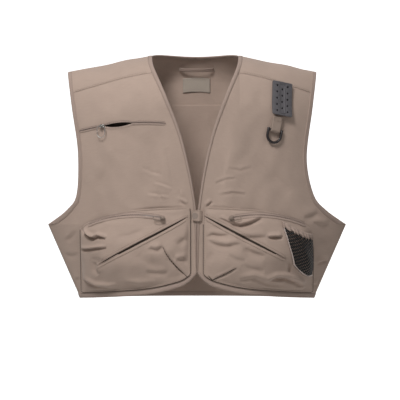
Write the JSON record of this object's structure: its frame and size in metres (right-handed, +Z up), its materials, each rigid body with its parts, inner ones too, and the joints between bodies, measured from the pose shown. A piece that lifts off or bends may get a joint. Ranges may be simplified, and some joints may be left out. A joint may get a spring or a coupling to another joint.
{
  "type": "fishing vest",
  "caption": "Short taupe wading vest with a deep V front, two zipped cargo pockets, chest zip pocket, mesh pocket, fly patch and D-ring.",
  "frame": {"origin": "the crown of the hang loop inside the back neck, where a hook carries the vest", "axes": "+Z up, -Y out of the front of the vest, +X towards the wearer's left"},
  "size_m": [0.6008, 0.2449, 0.4961],
  "materials": {
    "poplin": "matt woven cotton poplin, taupe",
    "binding_tape": "matt woven binding, taupe",
    "lining": "matt plain-weave lining",
    "mesh_net": "open knitted polyester net, black",
    "piping": "satin folded piping",
    "zip_tape": "woven tape with a nylon coil",
    "zip_metal": "nickel-plated die-cast zinc, bright",
    "snap_metal": "nickel-plated pressed steel, satin",
    "patch_rubber": "moulded ribbed rubber, matt grey",
    "ring_plastic": "moulded acetal, near-black, satin",
    "webbing": "woven webbing, taupe",
    "label": "blank woven satin label"
  },
  "bodies": {
    "vest": {"armhole_binding_left": "binding_tape", "armhole_binding_right": "binding_tape", "back_panel": "poplin", "cargo_pocket_left": "poplin", "cargo_pocket_right": "poplin", "cargo_zip_left_tape": "zip_tape", "cargo_zip_right_tape": "zip_tape", "chest_pocket_bag": "lining", "chest_zip_tape": "zip_tape", "d_ring_webbing": "webbing", "fly_patch_base": "lining", "front_edge_binding_left": "binding_tape", "front_edge_binding_right": "binding_tape", "front_panel_left": "poplin", "front_panel_right": "poplin", "hang_loop": "binding_tape", "hem_binding_back": "binding_tape", "hem_binding_left": "binding_tape", "hem_binding_right": "binding_tape", "mesh_pocket_elastic": "binding_tape", "mesh_pocket_panel": "mesh_net", "mesh_pocket_piping": "piping", "neck_label": "label", "slash_welt_lower_left": "poplin", "slash_welt_lower_right": "poplin", "slash_welt_upper_left": "poplin", "slash_welt_upper_right": "poplin", "snap_stud": "snap_metal", "yoke": "poplin"},
    "chest_zip_slider": {"chest_zip_slider": "zip_metal"},
    "chest_zip_pull": {"chest_zip_pull": "zip_metal"},
    "cargo_zip_right_slider": {"cargo_zip_right_slider": "zip_metal"},
    "cargo_zip_right_pull": {"cargo_zip_right_pull": "zip_metal"},
    "cargo_zip_left_slider": {"cargo_zip_left_slider": "zip_metal"},
    "cargo_zip_left_pull": {"cargo_zip_left_pull": "zip_metal"},
    "d_ring": {"d_ring": "ring_plastic"},
    "fly_patch": {"fly_patch_plate": "patch_rubber"},
    "closure_tab": {"closure_tab": "poplin", "snap_socket": "snap_metal"}
  },
  "joints": [
    {"name": "chest_zip_run", "type": "hinge", "parent": "vest", "child": "chest_zip_slider", "pos_m": [-0.05633, 0.0649, -0.27401], "axis": [-0.0917, -0.496, -0.8635], "range_deg": [-23, 9.48]},
    {"name": "chest_zip_pull_swing", "type": "hinge", "parent": "chest_zip_slider", "child": "chest_zip_pull", "pos_m": [-0.18885, -0.17897, -0.12287], "axis": [-0.9112, 0.4119, 0], "range_deg": [0, 150]},
    {"name": "cargo_zip_right_run", "type": "hinge", "parent": "vest", "child": "cargo_zip_right_slider", "pos_m": [-0.0863, -0.06885, -0.46793], "axis": [0.2121, 0.7428, 0.635], "range_deg": [-41.41, 0.14]},
    {"name": "cargo_zip_right_pull_swing", "type": "hinge", "parent": "cargo_zip_right_slider", "child": "cargo_zip_right_pull", "pos_m": [-0.06792, -0.21958, -0.30409], "axis": [-0.0005, -0.0009, 1], "range_deg": [0, 150]},
    {"name": "cargo_zip_left_run", "type": "hinge", "parent": "vest", "child": "cargo_zip_left_slider", "pos_m": [0.08688, -0.07094, -0.47004], "axis": [0.216, -0.7514, -0.6235], "range_deg": [-41.39, 0.14]},
    {"name": "cargo_zip_left_pull_swing", "type": "hinge", "parent": "cargo_zip_left_slider", "child": "cargo_zip_left_pull", "pos_m": [0.06778, -0.21958, -0.30406], "axis": [0.0005, -0.0009, -1], "range_deg": [0, 150]},
    {"name": "d_ring_swing", "type": "hinge", "parent": "vest", "child": "d_ring", "pos_m": [0.1536, -0.18378, -0.13158], "axis": [-0.9068, -0.3667, 0.2079], "range_deg": [0, 110]},
    {"name": "fly_patch_lift", "type": "hinge", "parent": "vest", "child": "fly_patch", "pos_m": [0.16853, -0.15685, -0.03619], "axis": [-0.9021, -0.3981, 0.1664], "range_deg": [0, 75]},
    {"name": "closure_tab_open", "type": "hinge", "parent": "vest", "child": "closure_tab", "pos_m": [0.00949, -0.20404, -0.29958], "axis": [0, 0, 1], "range_deg": [0, 100]}
  ]
}
